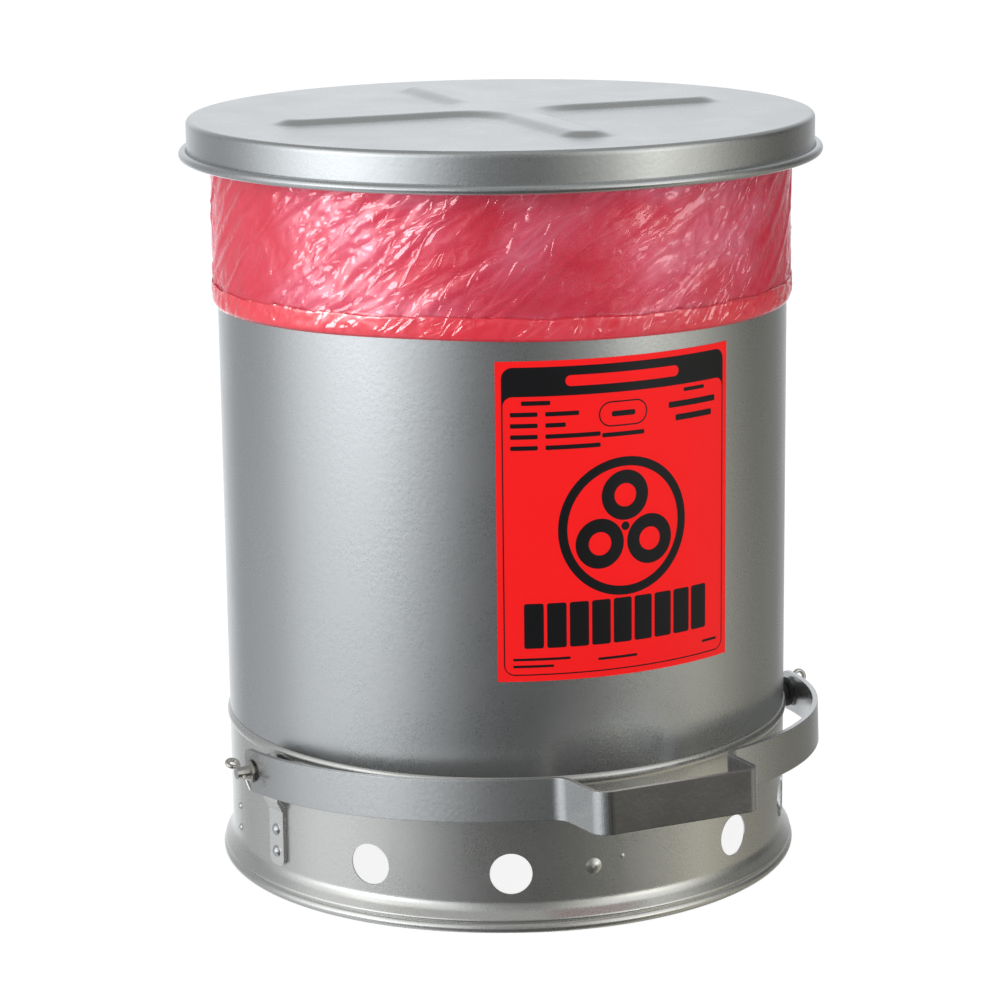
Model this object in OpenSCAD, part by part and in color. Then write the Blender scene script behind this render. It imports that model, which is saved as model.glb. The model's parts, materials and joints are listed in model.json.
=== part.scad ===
// Step-on waste bin: a round sheet-metal can on a vented skirt, with a lid that a pedal hoop lifts.
// Millimetres, +Z up. The origin is on the floor, on the can's axis. The pedal points to -Y and
// the lid hinge to +Y. An azimuth is measured round the axis from -Y, positive toward +X.

/* [Can] */
// Outside diameter of the body and of the skirt
body_d = 354; // [350:1:360]
// Height of the shut lid's flat top above the floor
lid_top_z = 469; // [455:1:505]
// Height of the raised floor inside the can
pan_z = 102; // [101:1:115]
// Thickness of the sheet metal
sheet_t = 0.8; // [0.6:0.1:1.2]

/* [Skirt] */
// Diameter of each vent hole
vent_d = 25.4; // [15:0.1:32]
// Height of the vent holes' centres
vent_z = 36; // [33:1:41]
// Angle between neighbouring vent holes
vent_pitch = 26.5; // [24:0.5:28]

/* [Pedal] */
// Height of the pedal hoop's flat bar
strap_h = 25.4; // [20:0.1:30]
// Thickness of the pedal hoop's flat bar
strap_t = 3.2; // [2:0.1:4]
// Distance from the can's axis to the pedal's front face
pedal_reach = 244; // [235:1:260]
// Width of the pedal's front face
pedal_w = 107; // [90:1:120]
// Upward tilt of the hoop toward the pedal
strap_tilt = 3.5; // [0:0.1:6]

/* [Lid] */
// Radius of the lid's upper edge
lid_r = 193.5; // [192:0.5:196]
// Height of the ridges pressed into the lid
ridge_h = 3.2; // [1:0.1:5]
// Length of each ridge of the cross
ridge_len = 300; // [200:1:330]
// Width of each ridge at its foot
ridge_w = 38; // [30:1:50]

/* [Liner] */
// Height of the liner cuff's lower edge
cuff_z = 355; // [351:1:405]
// Thickness that stands for the liner film
film_t = 0.8; // [0.5:0.1:1]

/* [Label] */
// Width of the label, measured round the body
label_w = 153.7; // [100:0.1:180]
// Height of the label's lower edge
label_z = 155; // [125:1:165]
// Height of the label
label_h = 191; // [100:1:192]
// Azimuth of the label's middle
label_azimuth = -1.7; // [-20:0.1:20]

/* [Hidden] */
$fn = 200;
steel = "silver";
zinc = "gainsboro";
slip = 0.05;     // gap between two parts that are only pressed or spot-welded together
cut = 1;         // how far a cutting shape runs past what it cuts
body_r = body_d / 2;

// rolled rim and body
body_top_z = lid_top_z - 9;
rim_r = 3;
rim_at = [body_r - sheet_t + rim_r, body_top_z - rim_r];
body_low_z = 96.3;
seam_w = 7;
seam_azimuth = -160;

// skirt: a shoulder bead on top, a flare and a rolled foot below
skirt_top_z = 96;
shoulder_h = 7;
shoulder_bulge = 1.6;
shoulder_arc_r = (pow(shoulder_h / 2, 2) + pow(shoulder_bulge, 2)) / (2 * shoulder_bulge);
shoulder_low_z = skirt_top_z - shoulder_h;
foot_r = 3.6;
foot_at = [body_r + 2.7, 3.3];
// the flare: a cove, a short straight and a rolled edge that turns back in over the foot
flare_top_z = 18.5;
flare_lean = 38;
flare_run = 4.2;
cove_r = 10;
cove_at = [body_r + cove_r, flare_top_z];
roll_r = 1.6;
roll_at = cove_at - (cove_r + roll_r) * [cos(flare_lean), sin(flare_lean)]
    + flare_run * [sin(flare_lean), -cos(flare_lean)];
vent_azimuths = concat(
    [2 - vent_pitch, vent_pitch],
    [for (a = [2 * vent_pitch, 112, 5 * vent_pitch, 6 * vent_pitch], s = [-1, 1]) s * a]
);
dimple_azimuth = -8.3;
dot_azimuth = -2.3;

// pedal hoop and its cross shaft
shaft_y = -38;
shaft_z = 82;
shaft_r = 4.75;
shaft_flat = 7.5;
shaft_half = 199.8;
keyed_from = 185;
keyed_to = 190.3;
neck_r = 3.7;
running_gap = 0.05;
bush_r = 5.9;
bush_out = 184.9;
bush_in = 166;
flange_r = 9.5;
flange_t = 1.9;
strap_r = 190.8;
strap_centre_y = -17;
strap_mid_r = strap_r - strap_t / 2;
strap_end = 9;
strap_corner = 5;
// the legs of the pedal lean outward, and the pedal sits a little to the left of the can's axis
pedal_shift = -2.5;
leg_lean = 2;
leg_dir = [sin(leg_lean), cos(leg_lean)];
leg_side = [cos(leg_lean), -sin(leg_lean)];
pedal_bend_r = 9;
root_bend_r = 12;
washer_in = 190.45;
washer_t = 1.2;
washer_r = 7;
cotter_x = 196.8;
cotter_wire_r = 1.4;
cotter_eye_r = 3.4;
hook_r = 1.6;

// pivot brackets
bracket_azimuth = acos(-shaft_y / body_r);
bracket_w = 15;
bracket_head_r = 9.5;
bracket_t = 2.2;
bracket_low_z = 19.5;
bracket_joggle = [55, 62];
bracket_step = 3.7;
bracket_rivet_z = [28.5, 42.5];
side_rivet_azimuth = 97;
side_rivet_z = [26, 40];

// lid hinge, lug and push rod
hinge_y = 218;
hinge_z = lid_top_z - 34;
hinge_pin_r = 3;
lug_y = 192;
lug_z = hinge_z - 15;
lug_pin_r = 3;
leaf_x = [13, 15.5];
bracket_x = [18, 20.5];
bracket_plate_r = body_r + 2.55;
hinge_rivets = [for (x = [-12, 12], z = [-52, -28]) [x, hinge_z + z]];
leaf_rivet_x = [-7, 7];
leaf_rivet_z = lid_top_z - 9.5;
rod_y = lug_y;
rod_r = 4;
rod_low_z = 33;
pad_r = 9;
pad_h = 6;
pad_top_z = lug_z - lug_pin_r - 0.5;
guide_z = [155, 325];
guide_h = 16;
guide_w = 34;
guide_boss_r = 7.5;
guide_plate_r = body_r + 2;

// lift arm
arm_tip_z = 50;
arm_w = 18;
arm_t = 6;
arm_hub_r = 11;
arm_run = rod_y - shaft_y;
arm_drop = shaft_z - arm_tip_z;
arm_len = norm([arm_run, arm_drop]);
arm_slope = atan(arm_drop / arm_run);
arm_slot = [42, 87.5];
arm_slot_w = 28;
collar_r = 9;
collar_gap = 0.5;
collar_low_z = arm_tip_z + arm_t / 2 / cos(arm_slope) + collar_gap;
collar_h = 14;
rod_cotter_z = 40;

// lid
lid_bead_r = 2.9;
lid_bead_at = [lid_r - sheet_t + lid_bead_r, lid_top_z - 21.6];
lid_edge_r = 3;
ridge_slope = 9;
gasket_r = [174, 188];
gasket_low_z = body_top_z + 2.2;

// liner
film_gap = 0.35;
film_inner_r = body_r - sheet_t - 3.2;
film_floor_z = pan_z + 7;
cuff_r = body_r + 1.3;
cuff_notch_half = 28;

// ---------- helpers ----------

// points along a bend, from one angle to another
function bend(centre, r, from, to, steps) = [
    for (i = [0:steps])
        let (a = from + (to - from) * i / steps)
        centre + r * [cos(a), sin(a)]
];

function reversed(list) = [for (i = [len(list) - 1:-1:0]) list[i]];
function mirrored(list) = [for (p = list) [-p[0], p[1]]];

// turns a profile through part of a circle, between two azimuths
module sector(from, to)
    rotate([0, 0, from - 90])
        rotate_extrude(angle = to - from)
            children();

// moves a shape whose outward direction is +X to an azimuth
module at_azimuth(a)
    rotate([0, 0, a - 90])
        children();

// a cylinder along +X from its start point
module rod_x(r, length, start)
    translate(start)
        rotate([0, 90, 0])
            cylinder(r = r, h = length);

// a flat shape drawn in the Y-Z plane and made thick along +X
module plate_x(from, to)
    translate([from, 0, 0])
        rotate([90, 0, 90])
            linear_extrude(to - from)
                children();

// a flat bar between two points, round at both ends
module link(p, q, r) {
    span = q - p;
    translate(p)
        circle(r);
    translate(q)
        circle(r);
    translate(p)
        rotate(atan2(span[1], span[0]))
            translate([0, -r])
                square([norm(span), 2 * r]);
}

// a box with its vertical edges rounded, seen along +Y, used to cut a window
module window(w, low, high, r, depth)
    rotate([90, 0, 0])
        linear_extrude(depth) {
            translate([-w / 2 + r, low])
                square([w - 2 * r, high - low]);
            translate([-w / 2, low + r])
                square([w, high - low - 2 * r]);
            for (x = [-1, 1], z = [low + r, high - r])
                translate([x * (w / 2 - r), z])
                    circle(r);
        }

// a rivet along +X: a domed head outside, a shank through the sheet and a flat tail inside
module rivet(head_r, dome, grip) {
    sphere_r = (head_r * head_r + dome * dome) / (2 * dome);
    rotate([0, 90, 0])
        rotate_extrude() {
            intersection() {
                translate([0, dome - sphere_r])
                    circle(sphere_r);
                square([head_r + cut, dome]);
            }
            translate([0, -grip])
                square([head_r / 2 - slip, grip + dome / 2]);
            translate([0, -grip - 1])
                square([head_r * 0.75, 1]);
        }
}

// the hole that a rivet's shank passes through
module rivet_hole(head_r, depth)
    rod_x(head_r / 2, depth, [-depth / 2, 0, 0]);

// a round bar with two flats, along +X
module keyed_bar(r, flat, length)
    intersection() {
        rod_x(r, length, [0, 0, 0]);
        translate([0, -r, -flat / 2])
            cube([length, 2 * r, flat]);
    }

// a split pin along +Z through the origin: an eye on top, two legs, and ends bent apart
module split_pin(wire_r, eye_r, grip, tail) {
    neck = grip / 2 + 1;
    eye_open = 50;
    throat = eye_r * [cos(eye_open), 1 - sin(eye_open)];
    translate([0, 0, neck + eye_r])
        rotate([90, 0, 0])
            rotate([0, 0, -eye_open])
                rotate_extrude(angle = 180 + 2 * eye_open)
                    translate([eye_r, 0])
                        circle(wire_r);
    translate([0, 0, -neck])
        cylinder(r = wire_r, h = 2 * neck);
    for (s = [-1, 1]) {
        translate([0, 0, -neck])
            rotate([s * 28, 0, 0])
                translate([0, 0, -tail])
                    cylinder(r = wire_r * 0.8, h = tail);
        translate([0, 0, neck])
            rotate([0, s * atan2(throat[0], throat[1]), 0])
                cylinder(r = wire_r * 0.9, h = norm(throat));
    }
}

// ---------- can ----------

// the rolled wall and its outward rolled rim
module body_blank() {
    rotate_extrude()
        translate([body_r - sheet_t, body_low_z])
            square([sheet_t, rim_at[1] - body_low_z]);
    rotate_extrude()
        translate(rim_at)
            circle(rim_r);
}

module body_shell()
    color(steel)
        difference() {
            union() {
                body_blank();
                at_azimuth(seam_azimuth)
                    intersection() {
                        translate([body_r - 3 * sheet_t, -seam_w / 2, body_low_z])
                            cube([4 * sheet_t, seam_w, rim_at[1] - body_low_z]);
                        difference() {
                            cylinder(r = body_r + sheet_t * 0.6, h = body_top_z);
                            cylinder(r = body_r - sheet_t, h = body_top_z);
                        }
                    }
            }
            for (p = hinge_rivets)
                translate([p[0], body_r, p[1]])
                    rotate([0, 0, 90])
                        rivet_hole(5, 20);
            for (z = guide_z, x = [-1, 1])
                translate([x * guide_w * 0.35, 0, z])
                    rotate([0, 0, 90])
                        translate([body_r, 0, 0])
                            rivet_hole(4.5, 20);
        }

// a disc with a flange turned down, to which the body and the skirt are both spot-welded
module bottom_pan()
    color(steel) {
        fit_r = body_r - sheet_t - slip;
        rotate_extrude()
            polygon([
                [0, pan_z - sheet_t],
                [fit_r - sheet_t, pan_z - sheet_t],
                [fit_r - sheet_t, shoulder_low_z + 1],
                [fit_r, shoulder_low_z + 1],
                [fit_r, pan_z - sheet_t / 2],
                [fit_r - sheet_t / 2, pan_z],
                [0, pan_z]
            ]);
    }

// the flare's outline from the wall down to the foot, moved inward by off
function flare_side(off) = concat(
    bend(cove_at, cove_r + off, 180, 180 + flare_lean, 8),
    bend(roll_at, roll_r - off, flare_lean, -80, 8)
);

// the skirt's wall, the bead at its shoulder, the flare and the foot rolled round a wire
module skirt_blank() {
    rotate_extrude()
        translate([body_r - sheet_t, flare_top_z - 0.5])
            square([sheet_t, shoulder_low_z - flare_top_z + 0.8]);
    rotate_extrude()
        intersection() {
            translate([body_r + shoulder_bulge - shoulder_arc_r, skirt_top_z - shoulder_h / 2])
                difference() {
                    circle(shoulder_arc_r);
                    circle(shoulder_arc_r - sheet_t);
                }
            translate([body_r - sheet_t - slip / 2, shoulder_low_z])
                square([4, shoulder_h]);
        }
    rotate_extrude()
        polygon(concat(flare_side(-slip / 2), reversed(flare_side(sheet_t + slip / 2))));
    rotate_extrude()
        intersection() {
            translate(foot_at)
                circle(foot_r);
            translate([foot_at[0] - 2 * foot_r, 0])
                square(4 * foot_r);
        }
}

module base_skirt()
    color(steel)
        difference() {
            union() {
                skirt_blank();
                at_azimuth(dimple_azimuth)
                    skirt_dimple(vent_z + 2, 5, 1.4);
                at_azimuth(dot_azimuth)
                    skirt_dimple(vent_z + 6, 1.6, 0.5);
            }
            for (a = vent_azimuths)
                at_azimuth(a)
                    rod_x(vent_d / 2, 20, [body_r - 10, 0, vent_z]);
            rod_x(bush_r + slip, 2 * body_r + 20, [-body_r - 10, shaft_y, shaft_z]);
            translate([0, body_r + 10, 0])
                window(arm_slot_w, arm_slot[0], arm_slot[1], 4, 20);
            for (s = [-1, 1], z = bracket_rivet_z)
                at_azimuth(s * bracket_azimuth)
                    translate([body_r, 0, z])
                        rivet_hole(6.6, 10);
            for (s = [-1, 1], z = side_rivet_z)
                at_azimuth(s * side_rivet_azimuth)
                    translate([body_r, 0, z])
                        rivet_hole(4.4, 10);
        }

// a shallow round swelling pressed out of the skirt, rooted half-way into the sheet
module skirt_dimple(z, r, h) {
    root = sheet_t / 2;
    sphere_r = (r * r + h * h) / (2 * h);
    translate([body_r - root, 0, z])
        rotate([0, 90, 0])
            rotate_extrude()
                intersection() {
                    translate([0, root + h - sphere_r])
                        circle(sphere_r);
                    square([r, root + h]);
                }
}

// one side's bracket: riveted flat below, stepped outward above to carry the shaft bush
module pivot_bracket(side)
    color(steel)
        difference() {
            at_azimuth(side * bracket_azimuth)
                bracket_blank();
            rod_x(bush_r + slip, 2 * body_r + 60, [-body_r - 30, shaft_y, shaft_z]);
            cylinder(r = body_r + slip, h = shaft_z + 20);
            at_azimuth(side * bracket_azimuth)
                for (z = bracket_rivet_z)
                    translate([body_r, 0, z])
                        rivet_hole(6.6, 20);
        }

module bracket_blank()
    intersection() {
        translate([0, bracket_head_r, 0])
            rotate([90, 0, 0])
                linear_extrude(2 * bracket_head_r)
                    polygon([
                        [body_r - 1, bracket_low_z],
                        [body_r + bracket_t, bracket_low_z],
                        [body_r + bracket_t, bracket_joggle[0]],
                        [body_r + bracket_t + bracket_step, bracket_joggle[1]],
                        [body_r + bracket_t + bracket_step, shaft_z + bracket_head_r + cut],
                        [body_r + bracket_step, shaft_z + bracket_head_r + cut],
                        [body_r + bracket_step, bracket_joggle[1]],
                        [body_r - 1, bracket_joggle[0] + 2]
                    ]);
        plate_x(body_r - 10, body_r + 20) {
            corner = 5;
            translate([0, shaft_z])
                circle(bracket_head_r);
            for (s = [-1, 1])
                translate([s * (bracket_w / 2 - corner), bracket_low_z + corner])
                    circle(corner);
            translate([-bracket_w / 2, bracket_low_z + corner])
                square([bracket_w, shaft_z - bracket_low_z - corner]);
            translate([corner - bracket_w / 2, bracket_low_z])
                square([bracket_w - 2 * corner, bracket_w]);
        }
    }

module pivot_bracket_left() pivot_bracket(-1);

module pivot_bracket_right() pivot_bracket(1);

module bracket_rivets()
    color(steel)
        for (s = [-1, 1], z = bracket_rivet_z)
            at_azimuth(s * bracket_azimuth)
                translate([body_r + bracket_t, 0, z])
                    rivet(6.6 / 2 * 1.15, 2.2, bracket_t + sheet_t + slip);

module side_rivets()
    color(steel)
        for (s = [-1, 1], z = side_rivet_z)
            at_azimuth(s * side_rivet_azimuth)
                translate([body_r + slip, 0, z])
                    rivet(2.4, 1.3, sheet_t + 2 * slip);

// a flanged sleeve through the skirt and the bracket
module shaft_bush()
    color("dimgray")
        difference() {
            union() {
                rod_x(bush_r, bush_out - bush_in, [bush_in, shaft_y, shaft_z]);
                rod_x(flange_r, flange_t, [bush_out - flange_t, shaft_y, shaft_z]);
            }
            rod_x(shaft_r + running_gap, bush_out, [bush_in - cut, shaft_y, shaft_z]);
        }

module shaft_bush_left()
    mirror([1, 0, 0])
        shaft_bush();

module shaft_bush_right() shaft_bush();

// ---------- lid hinge and rod guides on the can ----------

module hinge_bracket()
    color(steel)
        difference() {
            union() {
                intersection() {
                    cylinder(r = bracket_plate_r, h = hinge_z);
                    translate([-bracket_x[1], 0, hinge_z - 64])
                        cube([2 * bracket_x[1], 2 * body_r, 46]);
                }
                for (s = [0, 1])
                    mirror([s, 0, 0])
                        plate_x(bracket_x[0], bracket_x[1]) {
                            link([hinge_y, hinge_z], [hinge_y - 32, hinge_z - 38], 8);
                            translate([body_r - 6, hinge_z - 64])
                                square([14, 44]);
                        }
            }
            cylinder(r = body_r + slip, h = lid_top_z);
            rod_x(hinge_pin_r + slip, 60, [-30, hinge_y, hinge_z]);
            for (p = hinge_rivets)
                translate([p[0], body_r, p[1]])
                    rotate([0, 0, 90])
                        rivet_hole(5, 20);
        }

module hinge_bracket_rivets()
    color(steel)
        for (p = hinge_rivets)
            translate([p[0], bracket_plate_r, p[1]])
                rotate([0, 0, 90])
                    rivet(2.5, 1.6, 4.6);

module hinge_pin()
    color(zinc) {
        rod_x(hinge_pin_r, 50, [-24, hinge_y, hinge_z]);
        rod_x(5.5, 2, [-bracket_x[1] - slip - 2, hinge_y, hinge_z]);
    }

// a ring pressed on the hinge pin's free end
module hinge_pin_clip()
    color(zinc)
        difference() {
            rod_x(5.5, 1.2, [bracket_x[1] + 0.3, hinge_y, hinge_z]);
            rod_x(hinge_pin_r + slip / 2, 10, [bracket_x[1] - 4, hinge_y, hinge_z]);
        }

module hinge_spacers()
    color(zinc)
        for (s = [0, 1])
            mirror([s, 0, 0])
                difference() {
                    rod_x(6, bracket_x[0] - leaf_x[1] - 0.3, [leaf_x[1] + 0.15, hinge_y, hinge_z]);
                    rod_x(hinge_pin_r + slip, 10, [leaf_x[1] - 2, hinge_y, hinge_z]);
                }

// a riveted foot with a boss that the push rod slides through
module rod_guide(z)
    color(steel)
        difference() {
            union() {
                intersection() {
                    cylinder(r = guide_plate_r, h = z + guide_h);
                    translate([-guide_w / 2, 0, z - guide_h / 2])
                        cube([guide_w, 2 * body_r, guide_h]);
                }
                translate([-3.5, body_r - 3, z - guide_h / 2])
                    cube([7, rod_y - body_r, guide_h]);
                translate([0, rod_y, z - guide_h / 2])
                    cylinder(r = guide_boss_r, h = guide_h);
            }
            cylinder(r = body_r + slip, h = z + guide_h);
            translate([0, rod_y, z - guide_h])
                cylinder(r = rod_r + running_gap, h = 2 * guide_h);
            for (x = [-1, 1])
                translate([x * guide_w * 0.35, body_r, z])
                    rotate([0, 0, 90])
                        rivet_hole(4.5, 20);
        }

module rod_guide_lower() rod_guide(guide_z[0]);

module rod_guide_upper() rod_guide(guide_z[1]);

module guide_rivets()
    color(steel)
        for (z = guide_z, x = [-1, 1])
            translate([x * guide_w * 0.35, guide_plate_r, z])
                rotate([0, 0, 90])
                    rivet(2.2, 1.4, 4);

// ---------- label and liner ----------

module label()
    color("orangered") {
        half = label_w / body_r * 90 / PI;
        sector(label_azimuth - half, label_azimuth + half)
            translate([body_r + slip, label_z])
                square([0.3, label_h]);
    }

// the film lines the can, turns over the rim and hangs outside as a cuff
module liner_blank() {
    over_r = rim_r + film_gap;
    over_low_z = rim_at[1] - film_t / 2;
    rotate_extrude()
        polygon([
            [0, film_floor_z],
            [film_inner_r + film_t, film_floor_z],
            [film_inner_r + film_t, over_low_z],
            [rim_at[0] - over_r - film_t / 2, over_low_z],
            [rim_at[0] - over_r - film_t / 2, over_low_z + film_t],
            [film_inner_r, over_low_z + film_t],
            [film_inner_r, film_floor_z + film_t],
            [0, film_floor_z + film_t]
        ]);
    rotate_extrude()
        intersection() {
            translate(rim_at)
                difference() {
                    circle(over_r + film_t);
                    circle(over_r);
                }
            translate([0, over_low_z - film_t / 4])
                square([2 * body_r, lid_top_z]);
        }
    rotate_extrude()
        polygon([
            [rim_at[0] + over_r + film_t / 8, rim_at[1] + film_t / 4],
            [rim_at[0] + over_r + film_t * 0.9, rim_at[1] + film_t / 4],
            [cuff_r + film_t + 1, rim_at[1] - 14],
            [cuff_r + film_t, rim_at[1] - 60],
            [cuff_r + film_t, cuff_z],
            [cuff_r, cuff_z],
            [cuff_r, rim_at[1] - 60],
            [cuff_r + 1, rim_at[1] - 14]
        ]);
}

module liner_bag()
    color("tomato")
        difference() {
            liner_blank();
            translate([-cuff_notch_half, body_r - 3, cuff_z - cut])
                cube([2 * cuff_notch_half, 20, rim_at[1] - 10 - cuff_z + cut]);
        }

// ---------- pedal ----------

// where a leg's centre line would meet the pedal's front, on the side that shift widens
function leg_from(shift) = [(pedal_w - strap_t) / 2 + shift, -pedal_reach];

function pedal_corner(shift) = leg_from(shift) - pedal_bend_r * leg_side
    + (strap_t / 2 + pedal_bend_r * (1 - sin(leg_lean))) / cos(leg_lean) * leg_dir;

// the centre of the bend that joins a leg to the arc round the can
function root_at(shift) =
    let (
        base = leg_from(shift) + root_bend_r * leg_side - [0, strap_centre_y],
        back = base * leg_dir,
        run = -back - sqrt(back * back - base * base + pow(strap_mid_r + root_bend_r, 2))
    )
    base + [0, strap_centre_y] + run * leg_dir;

// The hoop's centre line on one side, moved outward by off: the pedal's corner, its leg leaning
// outward to the root bend, and the arc round the can to the pivot.
function hoop_side(off, shift) =
    let (
        root = root_at(shift),
        root_angle = atan2(root[1] - strap_centre_y, root[0])
    )
    concat(
        bend(pedal_corner(shift), pedal_bend_r + off, -90, -leg_lean, 12),
        bend(root, root_bend_r - off, 180 - leg_lean, 180 + root_angle, 12),
        bend([0, strap_centre_y], strap_mid_r + off, root_angle, 0, 60)
    );

module hoop_plan() {
    half_t = strap_t / 2;
    polygon(concat(
        hoop_side(half_t, pedal_shift),
        reversed(hoop_side(-half_t, pedal_shift)),
        mirrored(hoop_side(-half_t, -pedal_shift)),
        reversed(mirrored(hoop_side(half_t, -pedal_shift)))
    ));
}

// the hoop seen from its side, from the pedal to its rounded ends behind the pivot
module strap_outline() {
    flat = strap_h - 2 * strap_corner;
    for (s = [-1, 1])
        translate([strap_end - strap_corner, s * flat / 2])
            circle(strap_corner);
    translate([-2 * body_r, -strap_h / 2 - cut])
        square([2 * body_r + strap_end - strap_corner, strap_h + 2 * cut]);
    translate([-body_r, -flat / 2])
        square([body_r + strap_end, flat]);
}

module pedal_strap()
    color(steel)
        translate([0, shaft_y, shaft_z])
            rotate([-strap_tilt, 0, 0])
                difference() {
                    intersection() {
                        translate([0, -shaft_y, -strap_h / 2])
                            linear_extrude(strap_h)
                                hoop_plan();
                        plate_x(-2 * body_r, 2 * body_r)
                            strap_outline();
                    }
                    rotate([strap_tilt, 0, 0])
                        for (s = [0, 1])
                            mirror([s, 0, 0])
                                translate([body_r, 0, 0])
                                    keyed_bar(shaft_r + slip, shaft_flat + 2 * slip, 40);
                }

module pedal_shaft()
    color(zinc)
        difference() {
            translate([0, shaft_y, shaft_z]) {
                rod_x(shaft_r, 2 * keyed_from, [-keyed_from, 0, 0]);
                translate([-keyed_to, 0, 0])
                    keyed_bar(shaft_r, shaft_flat, 2 * keyed_to);
                rod_x(neck_r, 2 * shaft_half, [-shaft_half, 0, 0]);
            }
            for (s = [-1, 1])
                translate([s * cotter_x, shaft_y, shaft_z])
                    cotter_turn(s)
                        translate([0, 0, -10])
                            cylinder(r = hook_r, h = 20);
            translate([0, shaft_y, shaft_z])
                rotate([-arm_slope, 0, 0])
                    translate([0, 0, -20])
                        cylinder(r = 2.05, h = 40);
        }

// turns a split pin from +Z to the way it lies through the shaft's end
module cotter_turn(side)
    rotate(side < 0 ? [-65, 0, 15] : [-29, 0, 0])
        children();

module pedal_washers()
    color(zinc)
        for (s = [0, 1])
            mirror([s, 0, 0])
                difference() {
                    rod_x(washer_r, washer_t, [washer_in, shaft_y, shaft_z]);
                    translate([washer_in - cut, shaft_y, shaft_z])
                        rod_x(neck_r + slip, washer_t + 2 * cut, [0, 0, 0]);
                }

module cotter_pin(side)
    color(zinc)
        translate([side * cotter_x, shaft_y, shaft_z])
            cotter_turn(side)
                split_pin(cotter_wire_r, cotter_eye_r, 2 * neck_r + 2, 8);

module cotter_pin_left() cotter_pin(-1);

module cotter_pin_right() cotter_pin(1);

module lift_arm()
    color(steel)
        translate([0, shaft_y, shaft_z])
            difference() {
                rotate([-arm_slope, 0, 0])
                    difference() {
                        union() {
                            translate([-arm_w / 2, 0, -arm_t / 2])
                                cube([arm_w, arm_len, arm_t]);
                            translate([0, arm_len, -arm_t / 2])
                                cylinder(r = arm_w / 2, h = arm_t);
                            rod_x(arm_hub_r, arm_w, [-arm_w / 2, 0, 0]);
                        }
                        for (y = [-4, 4])
                            translate([0, arm_len + y, -arm_t])
                                cylinder(r = rod_r + 0.8, h = 2 * arm_t);
                        translate([-rod_r - 0.8, arm_len - 4, -arm_t])
                            cube([2 * rod_r + 1.6, 8, 2 * arm_t]);
                        translate([0, 0, -20])
                            cylinder(r = 2.05, h = 40);
                    }
                rod_x(shaft_r + slip, 40, [-20, 0, 0]);
            }

module lift_arm_pin()
    color(zinc)
        translate([0, shaft_y, shaft_z])
            rotate([-arm_slope, 0, 0])
                translate([0, 0, -arm_hub_r - 1])
                    cylinder(r = 2, h = 2 * arm_hub_r + 2);

// ---------- push rod ----------

module push_rod()
    color(zinc)
        difference() {
            translate([0, rod_y, rod_low_z])
                cylinder(r = rod_r, h = pad_top_z - 3 - rod_low_z);
            rod_x(1.3, 20, [-10, rod_y, rod_cotter_z]);
        }

module rod_top_pad()
    color("dimgray")
        difference() {
            translate([0, rod_y, pad_top_z - pad_h])
                cylinder(r = pad_r, h = pad_h);
            translate([0, rod_y, pad_top_z - pad_h - cut])
                cylinder(r = rod_r + slip, h = pad_h - 3 + cut + slip);
        }

// a collar with a domed underside that the lift arm pushes
module rod_collar()
    color(zinc)
        difference() {
            union() {
                translate([0, rod_y, collar_low_z + collar_r - 1])
                    cylinder(r = collar_r, h = collar_h - collar_r + 1);
                intersection() {
                    translate([0, rod_y, collar_low_z + collar_r])
                        sphere(collar_r);
                    translate([0, rod_y, collar_low_z])
                        cylinder(r = collar_r, h = collar_r);
                }
            }
            translate([0, rod_y, collar_low_z - cut])
                cylinder(r = rod_r + slip, h = collar_h + 2 * cut);
        }

module rod_cotter()
    color(zinc)
        translate([0, rod_y, rod_cotter_z])
            rotate([0, 90, 0])
                split_pin(1.1, 2.8, 2 * rod_r, 6);

// ---------- lid ----------

// flat top, small edge radius, straight side wall and rolled bead
module lid_blank() {
    edge_at = [lid_r - lid_edge_r, lid_top_z - lid_edge_r];
    rotate_extrude()
        translate([0, lid_top_z - sheet_t])
            square([edge_at[0] + slip, sheet_t]);
    rotate_extrude()
        intersection() {
            translate(edge_at)
                difference() {
                    circle(lid_edge_r);
                    circle(lid_edge_r - sheet_t);
                }
            translate(edge_at)
                square(2 * lid_edge_r);
        }
    rotate_extrude()
        translate([lid_r - sheet_t, lid_bead_at[1]])
            square([sheet_t, edge_at[1] + slip - lid_bead_at[1]]);
    rotate_extrude()
        translate(lid_bead_at)
            circle(lid_bead_r);
}

// one ridge of the cross, with sloping sides and round ends
module ridge()
    hull()
        for (s = [-1, 1])
            translate([s * (ridge_len - ridge_w) / 2, 0, 0]) {
                cylinder(r1 = ridge_w / 2, r2 = ridge_w / 2 - ridge_slope, h = ridge_h, $fn = 32);
                translate([0, 0, -sheet_t])
                    cylinder(r = ridge_w / 2, h = sheet_t, $fn = 32);
            }

module ridge_cross()
    for (a = [0, 90])
        rotate([0, 0, a])
            ridge();

module lid_shell()
    color(steel)
        difference() {
            union() {
                lid_blank();
                translate([0, 0, lid_top_z])
                    ridge_cross();
            }
            translate([0, 0, lid_top_z - sheet_t])
                ridge_cross();
            for (x = leaf_rivet_x)
                translate([x, 0, leaf_rivet_z])
                    rotate([0, 0, 90])
                        translate([lid_r, 0, 0])
                            rivet_hole(4, 12);
        }

module lid_gasket()
    color("dimgray")
        rotate_extrude()
            translate([gasket_r[0], gasket_low_z])
                square([gasket_r[1] - gasket_r[0], lid_top_z - sheet_t - slip - gasket_low_z]);

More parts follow.
